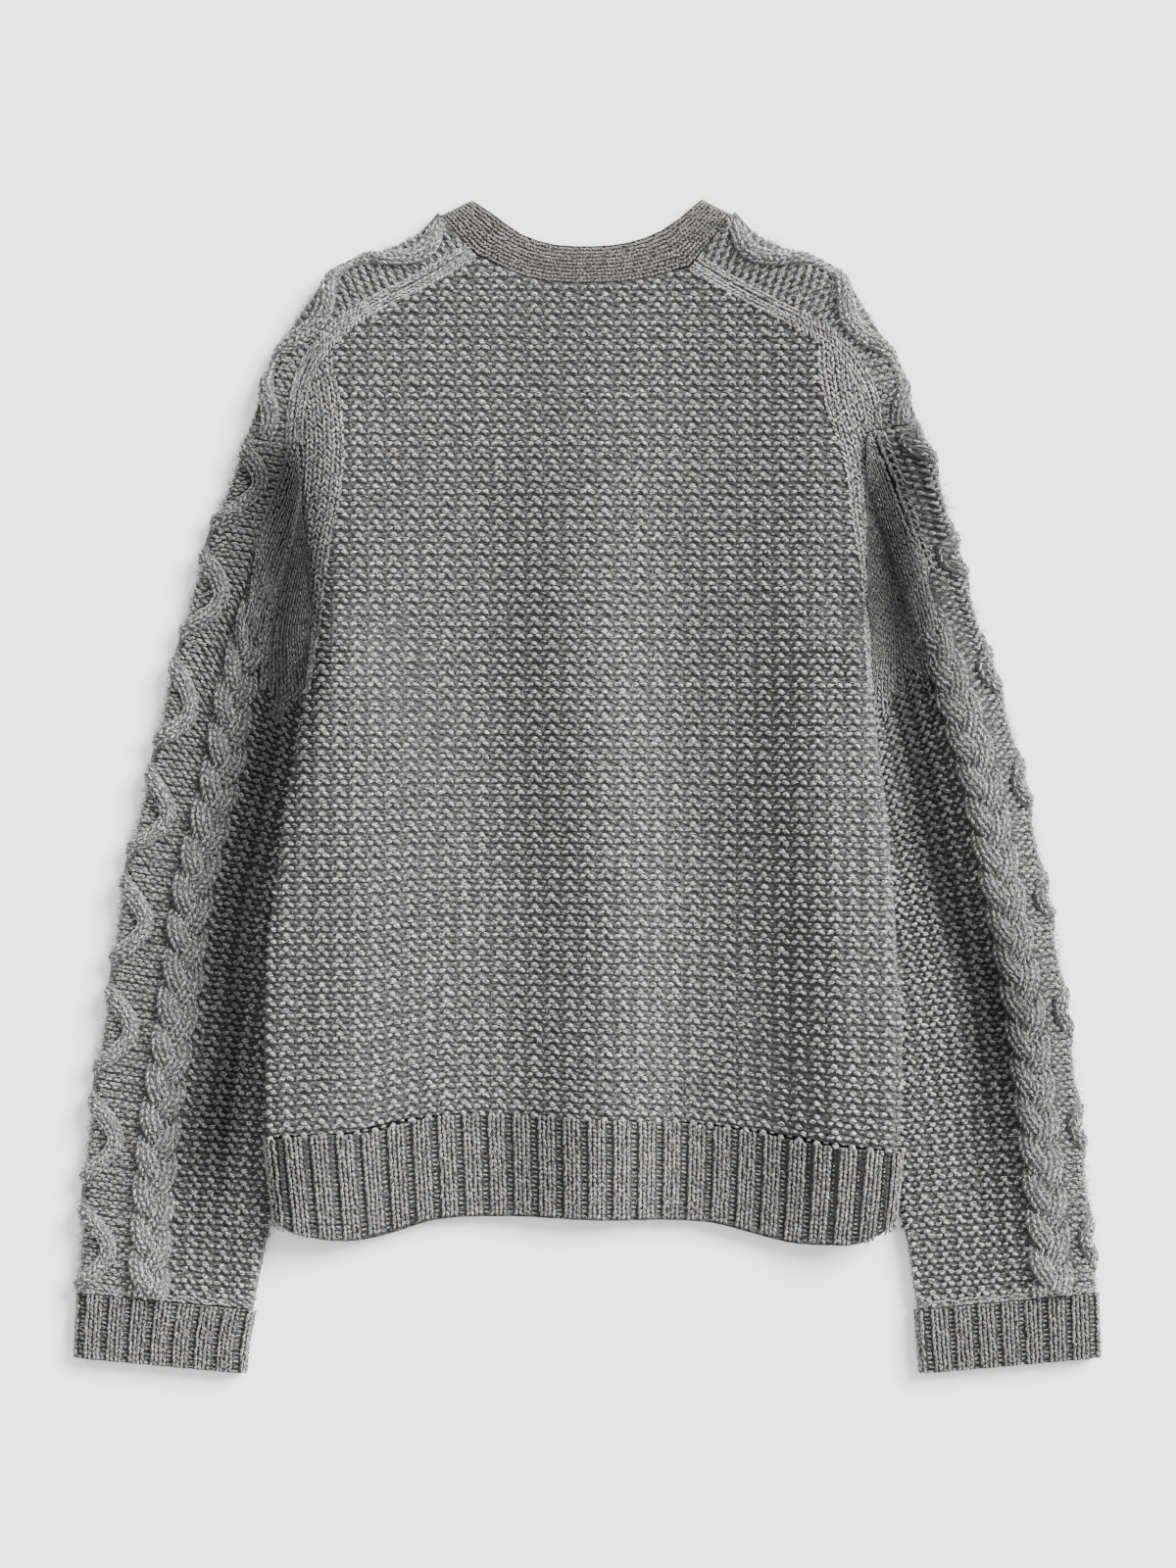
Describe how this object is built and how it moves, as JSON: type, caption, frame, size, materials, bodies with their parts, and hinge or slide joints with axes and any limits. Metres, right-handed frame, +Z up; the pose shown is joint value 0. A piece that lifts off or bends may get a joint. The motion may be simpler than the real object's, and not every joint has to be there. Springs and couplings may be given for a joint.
{
  "type": "cardigan",
  "caption": "Grey melange cable knit cardigan laid flat, back up: waffle stitch back, cabled sleeves, wide ribbed hem and cuffs, fine neckband.",
  "frame": {"origin": "On the ground under the middle of the garment's bounding box.", "axes": "+X to the right of the laid-out garment as seen from above, +Y from hem to neck, +Z up from the ground; the back of the garment faces +Z."},
  "size_m": [0.6112, 0.7006, 0.025],
  "materials": {
    "chunky_knit": "matte",
    "fine_knit": "matte",
    "button": "satin"
  },
  "bodies": {
    "root": {"back": "chunky_knit", "front_left": "chunky_knit", "front_right": "chunky_knit", "sleeve_left": "chunky_knit", "sleeve_right": "chunky_knit", "cuff_left": "chunky_knit", "cuff_right": "chunky_knit", "hem_back": "chunky_knit", "hem_front_left": "chunky_knit", "hem_front_right": "chunky_knit", "neckband": "fine_knit", "band_left": "fine_knit", "band_right": "fine_knit", "button_1": "button", "button_2": "button", "button_3": "button", "button_4": "button", "button_5": "button"}
  },
  "joints": []
}
